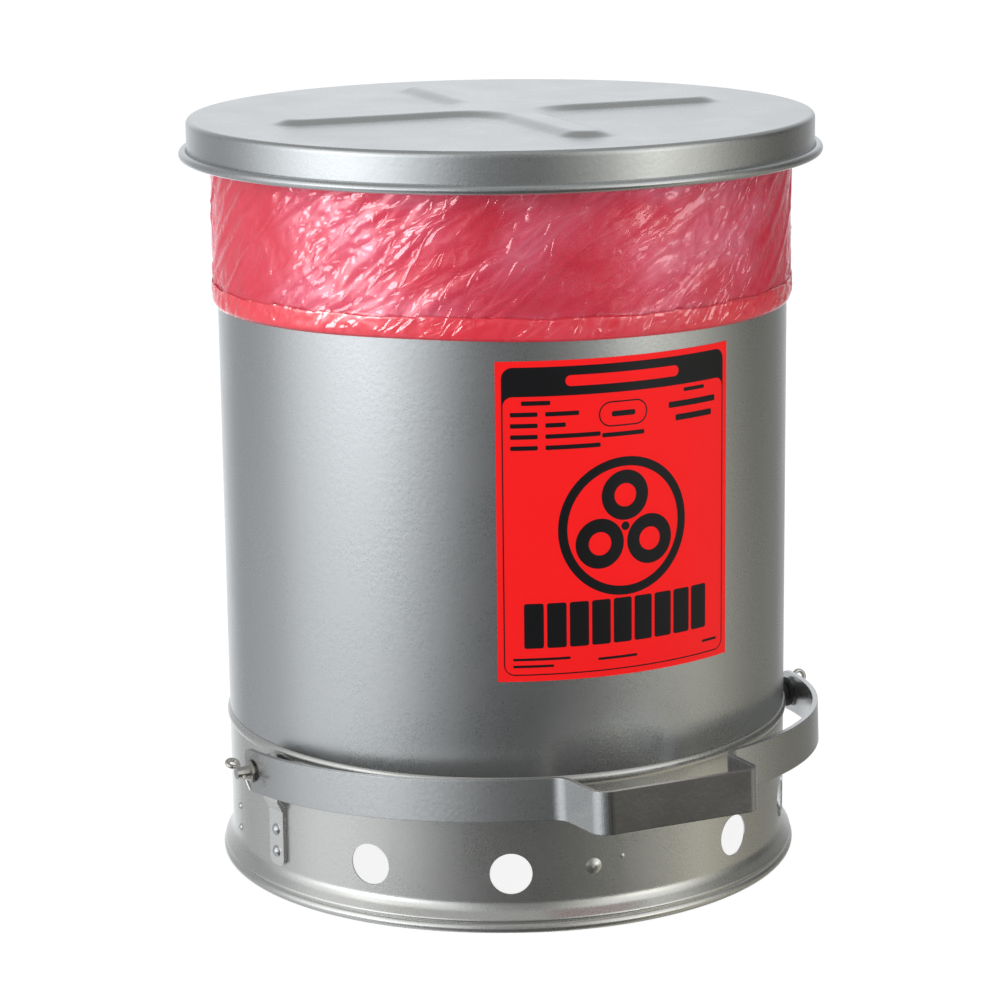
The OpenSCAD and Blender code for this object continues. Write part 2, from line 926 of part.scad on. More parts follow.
module lid_hinge_leaf()
    color(steel)
        difference() {
            union() {
                intersection() {
                    cylinder(r = lid_r + 2, h = lid_top_z);
                    translate([-leaf_x[1], 0, lid_top_z - 16.5])
                        cube([2 * leaf_x[1], 2 * lid_r, 13.5]);
                }
                for (s = [0, 1])
                    mirror([s, 0, 0])
                        plate_x(leaf_x[0], leaf_x[1]) {
                            link([hinge_y, hinge_z], [lug_y, lug_z], 6.5);
                            link([hinge_y, hinge_z], [hinge_y - 11, hinge_z + 24], 6);
                            translate([lid_r - 3, lid_top_z - 16.5])
                                square([hinge_y - 11 - lid_r + 5, 13.5]);
                        }
            }
            cylinder(r = lid_r + slip, h = lid_top_z + cut);
            rod_x(hinge_pin_r + running_gap, 60, [-30, hinge_y, hinge_z]);
            rod_x(lug_pin_r + slip, 60, [-30, lug_y, lug_z]);
            for (x = leaf_rivet_x)
                translate([x, lid_r, leaf_rivet_z])
                    rotate([0, 0, 90])
                        rivet_hole(4, 12);
        }

module lid_rivets()
    color(steel)
        for (x = leaf_rivet_x)
            translate([x, lid_r + 2, leaf_rivet_z])
                rotate([0, 0, 90])
                    rivet(2, 1.3, 3.2);

module lug_pin()
    color(zinc)
        rod_x(lug_pin_r, 2 * 17.4, [-17.4, lug_y, lug_z]);

// ---------- nodes ----------

body_shell();
bottom_pan();
base_skirt();
pivot_bracket_left();
pivot_bracket_right();
bracket_rivets();
side_rivets();
shaft_bush_left();
shaft_bush_right();
hinge_bracket();
hinge_bracket_rivets();
hinge_pin();
hinge_pin_clip();
hinge_spacers();
rod_guide_upper();
rod_guide_lower();
guide_rivets();
label();
liner_bag();
pedal_strap();
pedal_shaft();
pedal_washers();
cotter_pin_left();
cotter_pin_right();
lift_arm();
lift_arm_pin();
push_rod();
rod_top_pad();
rod_collar();
rod_cotter();
lid_shell();
lid_gasket();
lid_hinge_leaf();
lid_rivets();
lug_pin();
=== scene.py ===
"""Step-on waste bin: its finishes, the label's print, the film liner, the lid and the studio."""

import json
import math

import bmesh
import bpy
import numpy as np
from mathutils import Matrix, Vector


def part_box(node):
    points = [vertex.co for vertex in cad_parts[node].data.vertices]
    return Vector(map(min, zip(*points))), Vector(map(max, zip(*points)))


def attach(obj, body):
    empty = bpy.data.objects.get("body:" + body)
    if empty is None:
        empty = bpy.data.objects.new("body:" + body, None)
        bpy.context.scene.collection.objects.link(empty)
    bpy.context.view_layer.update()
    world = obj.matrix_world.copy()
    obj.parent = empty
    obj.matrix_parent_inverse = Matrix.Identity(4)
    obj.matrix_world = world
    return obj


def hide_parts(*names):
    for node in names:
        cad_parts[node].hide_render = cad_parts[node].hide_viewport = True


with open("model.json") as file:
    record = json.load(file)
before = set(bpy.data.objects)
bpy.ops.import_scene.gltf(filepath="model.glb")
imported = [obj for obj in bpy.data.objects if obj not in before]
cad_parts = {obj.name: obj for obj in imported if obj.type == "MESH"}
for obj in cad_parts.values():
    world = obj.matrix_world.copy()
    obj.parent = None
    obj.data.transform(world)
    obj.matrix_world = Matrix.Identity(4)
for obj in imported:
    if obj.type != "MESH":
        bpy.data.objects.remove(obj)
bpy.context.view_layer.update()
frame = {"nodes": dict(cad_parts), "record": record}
nodes = frame["nodes"]
MM = 0.001
TURN = 2 * math.pi
FILM_R = 178  # the film's radius where it lies on the can, in mm
PEDAL_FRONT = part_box("pedal_strap")[0].y + 12.4 * MM  # the pedal's face is ahead of this


# ---------------------------------------------------------------- materials
class Shader:
    """The node tree of a material or a world: values and links go in by socket name or number."""

    def __init__(self, owner, output="OutputMaterial"):
        self.owner = owner
        owner.use_nodes = True
        self.tree = owner.node_tree
        self.tree.nodes.clear()
        self.out = self.add(output)
        self.coords = self.add("TexCoord").outputs["Object"]

    def add(self, kind, attrs=None, **sockets):
        node = self.tree.nodes.new("ShaderNode" + kind)
        for key, value in (attrs or {}).items():
            setattr(node, key, value)
        for key, value in sockets.items():
            self.put(node, key.replace("_", " "), value)
        return node

    def put(self, node, key, value):
        socket = node.inputs[int(key)] if key.isdigit() else node.inputs[key]
        if isinstance(value, bpy.types.NodeSocket):
            self.tree.links.new(value, socket)
        elif isinstance(value, bpy.types.Node):
            self.tree.links.new(value.outputs[0], socket)
        else:
            socket.default_value = value

    def noise(self, scale, detail=2.0, rough=0.5, stretch=(1, 1, 1), distort=0.0):
        mapped = self.add("Mapping", Vector=self.coords, Scale=stretch)
        return self.add("TexNoise", Vector=mapped, Scale=scale, Detail=detail,
                        Roughness=rough, Distortion=distort).outputs["Fac"]

    def ramp(self, fac, *stops):
        node = self.add("ValToRGB", Fac=fac)
        ramp = node.color_ramp
        while len(ramp.elements) < len(stops):
            ramp.elements.new(0.5)
        for element, (at, value) in zip(ramp.elements, stops):
            element.position = at
            grey = isinstance(value, (int, float))
            element.color = (value, value, value, 1) if grey else (*value[:3], 1)
        return node.outputs["Color"]

    def math(self, op, a, b=0.0, c=0.0):
        node = self.add("Math", {"operation": op})
        for key, value in zip("012", (a, b, c)):
            self.put(node, key, value)
        return node.outputs[0]

    def mix(self, fac, a, b, blend="MIX"):
        node = self.add("Mix", {"data_type": "RGBA", "blend_type": blend})
        for key, value in ((0, fac), (6, a), (7, b)):
            plain = isinstance(value, tuple) and len(value) == 3
            self.put(node, str(key), (*value, 1) if plain else value)
        return node.outputs[2]

    def bump(self, height, strength, distance, under=None):
        node = self.add("Bump", Height=height, Strength=strength, Distance=distance)
        if under is not None:
            self.put(node, "Normal", under)
        return node.outputs["Normal"]

    def range(self, value, low, high):
        """0 at low and 1 at high."""
        return self.add("MapRange", Value=value, From_Min=low, From_Max=high).outputs[0]

    def surface(self, shader):
        self.tree.links.new(shader.outputs[0], self.out.inputs["Surface"])
        return self.owner


def material(name):
    return Shader(bpy.data.materials.new(name))


def silver_paint(name, tone=(0.60, 0.615, 0.62), rough=0.285, grain=0.4, painted_front_shade=0.0, edge=0.0):
    """Baked aluminium paint: fine flake mottle, a little orange peel, faint handling marks.

    painted_front_shade: painted shade, darkening the colour of what faces straight ahead, since the
    pedal's face looks dark under this light; edge rounds sharp corners to that radius."""
    s = material(name)
    flake = s.noise(950, 3, 0.65)
    cloud = s.noise(26, 4, 0.6)
    peel = s.noise(330, 2, 0.5)
    scuff = s.ramp(s.noise(60, 5, 0.7, (1, 1, 0.16), 0.6), (0.60, 0.0), (0.74, 1.0))
    dark = tuple(c * (1 - 0.15 * grain) for c in tone)
    light = tuple(min(c * (1 + 0.13 * grain), 1) for c in tone)
    colour = s.mix(s.ramp(flake, (0.33, 0.0), (0.67, 1.0)), dark, light)
    colour = s.mix(s.math("MULTIPLY", cloud, 0.16), colour, tuple(c * 0.72 for c in tone))
    colour = s.mix(s.math("MULTIPLY", scuff, 0.05), colour, (0.8, 0.8, 0.79))
    # painted shade: the colour of faces looking straight ahead is darkened, for how the light falls
    # on them
    if painted_front_shade:
        ahead = s.add("SeparateXYZ", Vector=s.add("TexCoord").outputs["Normal"]).outputs[1]
        front = s.math("LESS_THAN", s.add("SeparateXYZ", Vector=s.coords).outputs[1], PEDAL_FRONT)
        front_shade_mask = s.ramp(s.math("MULTIPLY", ahead, -1.0), (0.90, 0.0), (0.985, 1.0))
        front_shade_mask = s.math("MULTIPLY", front_shade_mask, front)
        front_shade_mask = s.math("MULTIPLY", front_shade_mask, s.math("MULTIPLY_ADD", cloud, 0.2, painted_front_shade - 0.1))
        colour = s.mix(front_shade_mask, colour, (0.070, 0.067, 0.063))
    roughness = s.math("ADD", s.math("MULTIPLY_ADD", flake, 0.10, rough - 0.09),
                       s.math("MULTIPLY", cloud, 0.08))
    rounded = s.add("Bevel", {"samples": 6}, Radius=edge) if edge else None
    normal = s.bump(flake, 0.10 * grain, 0.0003, s.bump(peel, 0.10, 0.0004, rounded))
    return s.surface(s.add("BsdfPrincipled", Base_Color=colour, Metallic=0.95,
                           Roughness=roughness, Normal=normal))


def zinc_plate(name, tone, rough):
    """Bright zinc plate: small spangle, fine draw lines and dulled patches."""
    s = material(name)
    spangle = s.add("TexVoronoi", Vector=s.coords, Scale=620.0).outputs["Color"]
    cloud = s.noise(160, 4, 0.6)
    lines = s.noise(900, 2, 0.5, (0.15, 1, 1))
    colour = s.mix(0.10, tone, spangle, "MULTIPLY")
    colour = s.mix(s.ramp(cloud, (0.45, 0.0), (0.75, 0.55)), colour, (0.44, 0.43, 0.40))
    roughness = s.math("MULTIPLY_ADD", cloud, 0.22, rough - 0.08)
    return s.surface(s.add("BsdfPrincipled", Base_Color=colour, Metallic=1.0,
                           Roughness=roughness, Normal=s.bump(lines, 0.12, 0.0002)))


def moulded(name, tone, rough, grain_scale, depth):
    """Matt moulded plastic or rubber with a fine grain and dusty high spots."""
    s = material(name)
    grain = s.noise(grain_scale, 3, 0.6)
    dust = s.noise(45, 5, 0.65)
    colour = s.mix(s.ramp(dust, (0.45, 0.0), (0.8, 0.35)), tone,
                   tuple(c * 2.2 + 0.02 for c in tone))
    roughness = s.math("MULTIPLY_ADD", grain, 0.14, rough - 0.07)
    return s.surface(s.add("BsdfPrincipled", Base_Color=colour, Roughness=roughness,
                           Normal=s.bump(grain, 0.35, depth)))


def printed_vinyl(name, tone, rough=0.30):
    """Glossy printed vinyl: the ink's density drifts a little, and the sheet lies slightly wavy."""
    s = material(name)
    ink = s.noise(1300, 2, 0.5)
    drift = s.noise(18, 3, 0.5)
    colour = s.mix(s.math("MULTIPLY", ink, 0.10), tone, tuple(c * 0.7 for c in tone))
    colour = s.mix(s.math("MULTIPLY", drift, 0.10), colour,
                   tuple(min(c * 1.2 + 0.006, 1) for c in tone))
    normal = s.bump(ink, 0.03, 0.0001, s.bump(drift, 0.12, 0.003))
    return s.surface(s.add("BsdfPrincipled", Base_Color=colour, Roughness=rough, Coat_Weight=0.04,
                           Specular_IOR_Level=0.2, Coat_Roughness=0.12, Normal=normal))


def liner_film(name, tone, cover, rough):
    """Thin tinted polyethylene: what is behind shows through, tinted, and its creases glint."""
    s = material(name)
    axes = s.add("SeparateXYZ", Vector=s.coords).outputs
    turn = s.math("ARCTAN2", axes[0], s.math("MULTIPLY", axes[1], -1.0))
    arc = s.math("MULTIPLY", turn, FILM_R * MM)
    flat = s.add("CombineXYZ", X=arc, Y=axes[2])

    def creases(lean, along, across, seed, sharp):
        """Sharp-crested ridges that run up at lean degrees, along and across in mm."""
        mapped = s.add("Mapping", {"vector_type": "TEXTURE"}, Vector=flat, Location=(seed, 0, 0),
                       Rotation=(0, 0, math.radians(lean)), Scale=(along * MM, across * MM, 1))
        noise = s.add("TexNoise", Vector=mapped, Scale=1.0, Detail=0.8, Roughness=0.4,
                      Distortion=0.6)
        away = s.math("ABSOLUTE", s.math("SUBTRACT", noise.outputs["Fac"], 0.5))
        crest = s.math("SUBTRACT", 1.0, s.math("MINIMUM", s.math("MULTIPLY", away, 7.5), 1.0))
        return s.math("POWER", crest, sharp)

    live = s.add("Attribute", {"attribute_name": "crumple_and_sheen"}).outputs["Fac"]
    milk = s.noise(60, 4, 0.6)
    long = creases(33, 46, 12.0, 0.1, 2.0)
    short = creases(18, 22, 7.0, 0.7, 1.8)
    steep = creases(60, 30, 9.0, 1.3, 2.0)
    height = s.math("MAXIMUM", s.math("MAXIMUM", long, s.math("MULTIPLY", steep, 0.7)),
                    s.math("MULTIPLY", short, 0.4))
    height = s.math("MULTIPLY", height, s.math("MULTIPLY_ADD", live, 0.9, 0.10))
    ripple = s.noise(34, 3, 0.5, (1, 1, 0.5))
    waves = s.bump(ripple, 0.35, 0.005)
    colour = s.mix(s.math("MULTIPLY", milk, 0.3), tone, tuple(c * 0.85 + 0.02 for c in tone))
    # painted sheen: the crumpled patches are coloured pinkish-white, as the key light's sheen on
    # them
    colour = s.mix(s.math("MULTIPLY", live, 0.62), colour, (0.95, 0.22, 0.38))
    # painted highlight: the crease crests are coloured lighter pink, as glints along them
    colour = s.mix(s.math("MULTIPLY", height, 0.5), colour, (1.0, 0.36, 0.46))
    folded = s.add("Attribute", {"attribute_name": "folded"}).outputs["Fac"]
    colour = s.mix(s.math("MULTIPLY", folded, 0.75), colour, (0.80, 0.012, 0.03))
    roughness = s.math("MULTIPLY_ADD", milk, 0.14, rough - 0.07)
    body = s.add("BsdfPrincipled", Base_Color=colour, Roughness=roughness, Specular_IOR_Level=0.9,
                 Normal=waves, Coat_Weight=1.0, Coat_Roughness=0.065, Coat_IOR=1.7,
                 Coat_Normal=s.bump(height, 1.0, 0.0024, waves))
    through = s.add("BsdfTransparent", Color=(1.0, 0.46, 0.58, 1))
    facing = s.add("LayerWeight", Blend=0.25).outputs["Facing"]
    share = s.math("ADD", s.math("MULTIPLY", facing, 0.45),
                   s.math("MULTIPLY_ADD", folded, 0.22, cover))
    mixed = s.add("MixShader", Fac=s.math("MINIMUM", share, 0.97))
    s.put(mixed, "1", through)
    s.put(mixed, "2", body)
    return s.surface(mixed)


finishes = {
    "silver_paint": silver_paint("silver_paint"),
    "zinc_plate": zinc_plate("zinc_plate", (0.72, 0.71, 0.67), 0.27),
    "dark_plastic": moulded("dark_plastic", (0.035, 0.035, 0.038), 0.48, 900, 0.0002),
    "black_rubber": moulded("black_rubber", (0.022, 0.022, 0.022), 0.72, 700, 0.0003),
    "label_red": printed_vinyl("label_red", (0.84, 0.004, 0.005)),
    "label_black": printed_vinyl("label_black", (0.008, 0.008, 0.009), 0.26),
    "film_red": liner_film("film_red", (0.84, 0.035, 0.085), 0.34, 0.36),
}
slot_of = {part["node"]: part["material_slot"] for part in frame["record"]["subparts"]}


def dress(obj, material):
    """Every slot of the object shows this material."""
    if not obj.material_slots:
        obj.data.materials.append(material)
    for entry in obj.material_slots:
        entry.link = "OBJECT"
        entry.material = material


for node_name, node in nodes.items():
    dress(node, finishes[slot_of[node_name]])
# painted light: the skirt's paint is a lighter copy of the silver paint, for how brightly it
# catches the light
dress(nodes["base_skirt"], silver_paint("silver_paint_painted_light_skirt", (0.73, 0.73, 0.705)))
# painted light: the brackets' paint is a much lighter copy of the silver paint, for how brightly
# they look lit
painted_light_bracket_finish = silver_paint("silver_paint_painted_light_brackets", (0.92, 0.92, 0.90), edge=0.5 * MM)
for node_name in ("pivot_bracket_left", "pivot_bracket_right"):
    dress(nodes[node_name], painted_light_bracket_finish)
# painted shade: the pedal's paint is a darker copy of the silver paint, and its front face is
# darkened further
dress(nodes["pedal_strap"],
      silver_paint("silver_paint_painted_shade_pedal", (0.55, 0.56, 0.56), painted_front_shade=0.88, edge=0.6 * MM))


# ---------------------------------------------------------------- label print
label_low, label_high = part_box("label")
label_points = np.array([v.co for v in nodes["label"].data.vertices])
LABEL_R = float(np.hypot(label_points[:, 0], label_points[:, 1]).max())
label_turn = np.degrees(np.arctan2(label_points[:, 0], -label_points[:, 1]))
LABEL_AZIMUTH = float(label_turn.max() + label_turn.min()) / 2
LABEL_HALF_W = math.radians(float(label_turn.max() - label_turn.min()) / 2) * LABEL_R
LABEL_HALF_H = (label_high.z - label_low.z) / 2
LABEL_MID_Z = (label_high.z + label_low.z) / 2
INK = 0.06 * MM


def box_loop(x0, y0, x1, y1, r, steps=8):
    """A rectangle's outline with rounded corners, anticlockwise."""
    corners = ((x1 - r, y1 - r, 0), (x0 + r, y1 - r, 90),
               (x0 + r, y0 + r, 180), (x1 - r, y0 + r, 270))
    turned = ((cx, cy, math.radians(a + 90 * i / steps))
              for cx, cy, a in corners for i in range(steps + 1))
    return [(cx + r * math.cos(a), cy + r * math.sin(a)) for cx, cy, a in turned]


def ring_loop(x, y, r, steps=72):
    turned = (TURN * i / steps for i in range(steps))
    return [(x + r * math.cos(a), y + r * math.sin(a)) for a in turned]


def print_on_label(name, loops, ink, layer):
    """Flat shapes on the curved label, in mm from its middle. A loop inside another is a hole."""
    curve = bpy.data.curves.new(name, "CURVE")
    curve.dimensions = "2D"
    curve.fill_mode = "BOTH"
    for loop in loops:
        spline = curve.splines.new("POLY")
        spline.points.add(len(loop) - 1)
        for point, (x, y) in zip(spline.points, loop):
            point.co = (x * MM, y * MM, 0, 1)
        spline.use_cyclic_u = True
    maker = bpy.data.objects.new(name + "_flat", curve)
    bpy.context.scene.collection.objects.link(maker)
    bpy.context.view_layer.update()
    depsgraph = bpy.context.evaluated_depsgraph_get()
    mesh = bpy.data.meshes.new_from_object(maker.evaluated_get(depsgraph), depsgraph=depsgraph)
    bpy.data.objects.remove(maker)
    bm = bmesh.new()
    bm.from_mesh(mesh)
    bmesh.ops.remove_doubles(bm, verts=bm.verts, dist=1e-7)
    x = -LABEL_HALF_W
    while x < LABEL_HALF_W:
        bmesh.ops.bisect_plane(bm, geom=bm.verts[:] + bm.edges[:] + bm.faces[:], dist=1e-7,
                               plane_co=(x, 0, 0), plane_no=(1, 0, 0))
        x += 3 * MM
    for face in bm.faces:
        if face.normal.z < 0:
            face.normal_flip()
    radius = LABEL_R + INK * (0.5 + layer)
    for v in bm.verts:
        turn = math.radians(LABEL_AZIMUTH) + v.co.x / LABEL_R
        v.co = (radius * math.sin(turn), -radius * math.cos(turn), LABEL_MID_Z + v.co.y)
    bm.to_mesh(mesh)
    bm.free()
    mesh.materials.clear()
    mesh.materials.append(finishes[ink])
    obj = bpy.data.objects.new(name, mesh)
    bpy.context.scene.collection.objects.link(obj)
    solid = obj.modifiers.new("thickness", "SOLIDIFY")
    solid.thickness = INK * 0.9
    solid.offset = 1.0
    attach(obj, "can")
    return obj


half_w, half_h = LABEL_HALF_W / MM, LABEL_HALF_H / MM
inset, line = 3.6, 0.7
header_y = half_h - 20.8
black = [
    # thin border that runs into the header band
    box_loop(-half_w + inset, -half_h + inset, half_w - inset, half_h - inset, 6.5),
    box_loop(-half_w + inset + line, -half_h + inset + line, half_w - inset - line, header_y, 5.5),
]
# the pictogram: three plain rings inside a plain ring
mark_x, mark_y = 0.5, -5.5
black += [ring_loop(mark_x, mark_y, 41.5, 120), ring_loop(mark_x, mark_y, 36.0, 120)]
for i in range(3):
    a = math.radians(90 + 120 * i)
    cx, cy = mark_x + 18.6 * math.cos(a), mark_y + 18.6 * math.sin(a)
    black += [ring_loop(cx, cy, 15.0), ring_loop(cx, cy, 7.0)]
black.append(ring_loop(mark_x, mark_y, 2.6, 32))
# the heavy row under the pictogram: plain blocks
for i in range(9):
    x = -61.4 + i * 13.55
    black.append(box_loop(x, -75.6, x + 11.6, -48.5, 1.4))
# small print: plain bars
for row, (first, second) in enumerate(((17, 0), (16, 20), (16, 12), (16, 33), (16, 33))):
    y = 69.5 - row * 6.6
    x = -68.5 if row else -62.0
    black.append(box_loop(x, y, x + first, y + 2.6, 0.8))
    if second:
        black.append(box_loop(x + 20.5, y, x + 20.5 + second, y + 2.6, 0.8))
for x0, x1, y, h in ((41, 57, 70.2, 2.2), (30, 66, 61.5, 3.6), (35, 63, 53.5, 3.6),
                     (-14, 13, 48.5, 2.6)):
    black.append(box_loop(x0, y, x1, y + h, 0.9))
black += [box_loop(-16, 54.5, 15, 69.5, 7.4), box_loop(-15.2, 55.3, 14.2, 68.7, 6.6),
          box_loop(-8, 60.4, 7, 63.6, 1.2)]
for x0, x1, y in ((-68, -34, -83.0), (-68, -44, -87.2), (-17, 8, -85.2), (56, 68, -85.0)):
    black.append(box_loop(x0, y, x1, y + 1.5, 0.5))
print_on_label("label_print", black, "label_black", 0)
print_on_label("label_header_bar", [box_loop(-36, header_y + 5.4, 37, header_y + 11.8, 3.1)],
               "label_red", 1)


# ---------------------------------------------------------------- film liner
# Lengths and heights in this section are in mm.
ARC = TURN * (LABEL_R / MM - 0.35)
HEM_Z = label_high.z / MM + 9
RIM_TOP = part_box("liner_bag")[1].z / MM
RIM_MID_R = 179.2  # from the axis to the middle of the film's roll over the rim
RIM_ROLL = 4.2  # that roll's own radius


class Noise:
    """Seeded gradient noise that repeats across whole cells in both directions."""

    def __init__(self, cells, seed, rows=64):
        rng = np.random.default_rng(seed)
        angle = rng.uniform(0, TURN, (cells, rows))
        self.g = np.stack([np.cos(angle), np.sin(angle)], -1)
        self.size = cells, rows

    def __call__(self, x, y):
        i, j = np.floor(x).astype(int), np.floor(y).astype(int)
        fx, fy = x - i, y - j
        sx, sy = (f * f * f * (f * (f * 6 - 15) + 10) for f in (fx, fy))

        def corner(a, b):
            g = self.g[(i + a) % self.size[0], (j + b) % self.size[1]]
            return g[..., 0] * (fx - a) + g[..., 1] * (fy - b)

        top = corner(0, 0) * (1 - sx) + corner(1, 0) * sx
        low = corner(0, 1) * (1 - sx) + corner(1, 1) * sx
        return (top * (1 - sy) + low * sy) * 1.5


def creases(turn, z, along, across, lean, seed, sharp):
    """Ridged noise round the can: crests along mm long and across mm apart, lean degrees up."""
    run, rise = math.cos(math.radians(lean)), math.sin(math.radians(lean))
    cells, rows = max(round(ARC * run / along), 3), max(round(ARC * abs(rise) / across), 3)
    u = turn / TURN * cells + z * rise / along
    v = z * run / across - math.copysign(rows, lean) * turn / TURN
    warp = Noise(23, seed + 50)(turn / TURN * 23, z / 33.0) * 0.8
    n = Noise(cells, seed, rows)(u + warp, v + warp * 0.6)
    return (1 - np.clip(np.abs(n) * 2.2, 0, 1)) ** sharp


def smooth(x, a, b):
    t = np.clip((x - a) / (b - a), 0, 1)
    return t * t * (3 - 2 * t)


# where the film is crumpled: azimuth, height under the rim, and how far each patch reaches
PATCHES = ((-58, 52, 15, 34), (-44, 22, 12, 20), (-50, 88, 16, 16), (-20, 40, 8, 30),
           (12, 60, 13, 26), (27, 34, 10, 30), (4, 18, 12, 12), (-2, 97, 18, 8),
           (104, 60, 18, 36), (150, 44, 15, 30), (-122, 56, 17, 34), (-158, 70, 13, 28))


def crumpled(turn, z):
    """From 0 where the film lies smooth to 1 in the middle of a crumpled patch."""
    degrees = np.degrees(turn)
    patches = sum(
        np.exp(-(((degrees - a + 180) % 360 - 180) / w) ** 2 - ((RIM_TOP - z - d) / h) ** 2)
        for a, d, w, h in PATCHES)
    return np.clip(patches * (0.75 + 1.1 * Noise(31, 77)(turn / TURN * 31, z / 26.0)), 0, 1)


def crumple(turn, z):
    """Height of the film's folds and creases in mm."""
    broad = creases(turn, z, 95.0, 27.0, 30, 3, 1.2)
    mid = creases(turn, z, 42.0, 15.0, 33, 11, 1.5)
    steep = creases(turn, z, 34.0, 13.0, 62, 23, 1.5)
    live = crumpled(turn, z)
    return 0.6 * broad + (0.10 + 0.90 * live) * np.maximum(1.6 * mid, 1.2 * steep)


def midpoints(p, axis, wrap):
    """Twice the points along one axis, by four-point interpolation."""
    if wrap:
        q = (-np.roll(p, 1, axis) + 9 * p + 9 * np.roll(p, -1, axis) - np.roll(p, -2, axis)) / 16
        out = np.stack([p, q], axis + 1)
        shape = list(p.shape)
        shape[axis] *= 2
        return out.reshape(shape)
    first, last = np.take(p, [0], axis), np.take(p, [-1], axis)
    ext = np.concatenate([2 * first - np.take(p, [1], axis), p,
                          2 * last - np.take(p, [-2], axis)], axis)
    n = p.shape[axis]
    a, b, c, d = (np.take(ext, range(k, k + n - 1), axis) for k in range(4))
    q = (-a + 9 * b + 9 * c - d) / 16
    out = np.empty([*p.shape[:axis], 2 * n - 1, *p.shape[axis + 1:]])
    index = [slice(None)] * p.ndim
    index[axis] = slice(0, None, 2)
    out[tuple(index)] = p
    index[axis] = slice(1, None, 2)
    out[tuple(index)] = q
    return out


def sheet(name, rows, caps=()):
    """A mesh from rings of points round the can, rows[ring, step, xyz], capped at some rings."""
    count, steps = rows.shape[:2]
    faces = [(j * steps + i, j * steps + (i + 1) % steps, (j + 1) * steps + (i + 1) % steps,
              (j + 1) * steps + i) for j in range(count - 1) for i in range(steps)]
    points = rows.reshape(-1, 3).tolist()
    for ring in caps:
        first = ring % count * steps
        points.append(rows[ring].mean(axis=0).tolist())
        faces += [(first + i, first + (i + 1) % steps, len(points) - 1) for i in range(steps)]
    mesh = bpy.data.meshes.new(name)
    mesh.from_pydata(points, [], faces)
    mesh.shade_smooth()
    obj = bpy.data.objects.new(name, mesh)
    bpy.context.scene.collection.objects.link(obj)
    return obj


def polar(turn, r, z):
    """Points at azimuth turn (0 toward the pedal, growing toward +X), radius and height in mm."""
    return np.stack(np.broadcast_arrays(r * np.sin(turn), -r * np.cos(turn), z), -1) * MM


NOTCH = math.radians(9.6)  # half the gap the cuff leaves for the hinge
GATHER = 91.5  # how far the cuff's edge is drawn up there


def hem_line(turn):
    """Height of the cuff's lower edge: nearly level, but gathered up over the rim at the hinge."""
    away = np.abs(turn % TURN - math.pi)
    gather = 1 - smooth(away, NOTCH, NOTCH + math.radians(9))
    sway = Noise(7, 5)(turn / TURN * 7, np.full_like(turn, 0.3)) * 2.2
    droop = 3.6 * np.sin(turn + math.radians(25)) ** 2
    return HEM_Z + (sway - droop) * (1 - gather) + gather * GATHER + 0.8


CUFF_STEPS, CUFF_ROWS = 316, 30
FRAMES = 34
CUFF_TOP = RIM_TOP - 5.15


def cuff_radius(z):
    """The film's resting radius: close to the can, and out round the rim bead at the top."""
    near = FILM_R + 0.3
    return near + (RIM_MID_R + RIM_ROLL - near) * smooth(z, RIM_TOP - 26, RIM_TOP - 6)


turns = np.arange(CUFF_STEPS) / CUFF_STEPS * TURN
lows = hem_line(turns)
t = np.linspace(0, 1, CUFF_ROWS)[:, None]
cuff_z = lows[None] + t * (CUFF_TOP - lows[None])
cuff = polar(turns[None], cuff_radius(cuff_z), cuff_z)


def simulate(cuff):
    """The cuff as cloth that is a few percent too big for its place, twisted a little at the rim.

    It is simulated at ten times its size, where the solver's distances suit so thin a sheet."""
    scale = 10.0
    obj = sheet("cuff_cloth", cuff * scale)
    rows, steps = cuff.shape[:2]
    obj.shape_key_add(name="Basis")
    key = obj.shape_key_add(name="twist")
    twist = np.linspace(-0.020, 0.030, rows)[:, None]
    turned = cuff * scale
    x = turned[..., 0] * np.cos(twist) - turned[..., 1] * np.sin(twist)
    y = turned[..., 0] * np.sin(twist) + turned[..., 1] * np.cos(twist)
    lift = np.linspace(0.025, 0.0, rows)[:, None]
    target = np.stack([x, y, turned[..., 2] + lift], -1)
    key.data.foreach_set("co", target.reshape(-1).astype(np.float32))
    key.value = 0.0
    key.keyframe_insert("value", frame=1)
    key.value = 1.0
    key.keyframe_insert("value", frame=16)
    pin = obj.vertex_groups.new(name="pin")
    pin.add(list(range((rows - 2) * steps, rows * steps)), 1.0, "REPLACE")
    pin.add(list(range(steps)), 1.0, "REPLACE")
    cloth = obj.modifiers.new("cloth", "CLOTH")
    c = cloth.settings
    c.quality = 6
    c.mass = 0.08
    c.tension_stiffness = c.compression_stiffness = 25
    c.shear_stiffness = 12
    c.bending_stiffness = 0.05
    c.air_damping = 2.0
    c.shrink_min = c.shrink_max = -0.035
    c.vertex_group_mass = "pin"
    cloth.collision_settings.distance_min = 0.004
    cloth.collision_settings.collision_quality = 3
    cloth.point_cache.frame_start, cloth.point_cache.frame_end = 1, FRAMES
    inner = polar(np.arange(192)[None] / 192 * TURN, np.full((2, 1), FILM_R - 0.3),
                  np.array([[RIM_TOP - 126], [RIM_TOP + 14]]))
    wall = sheet("can_wall", inner * scale)
    wall.modifiers.new("collision", "COLLISION")
    wall.collision.thickness_outer = 0.004
    wall.collision.thickness_inner = 0.05
    for f in range(1, FRAMES + 1):
        bpy.context.scene.frame_set(f)
    depsgraph = bpy.context.evaluated_depsgraph_get()
    done = obj.evaluated_get(depsgraph).to_mesh()
    out = np.empty(len(done.vertices) * 3, np.float32)
    done.vertices.foreach_get("co", out)
    for extra in (obj, wall):
        bpy.data.objects.remove(extra)
    bpy.context.scene.frame_set(1)
    return out.reshape(rows, steps, 3).astype(float) / scale


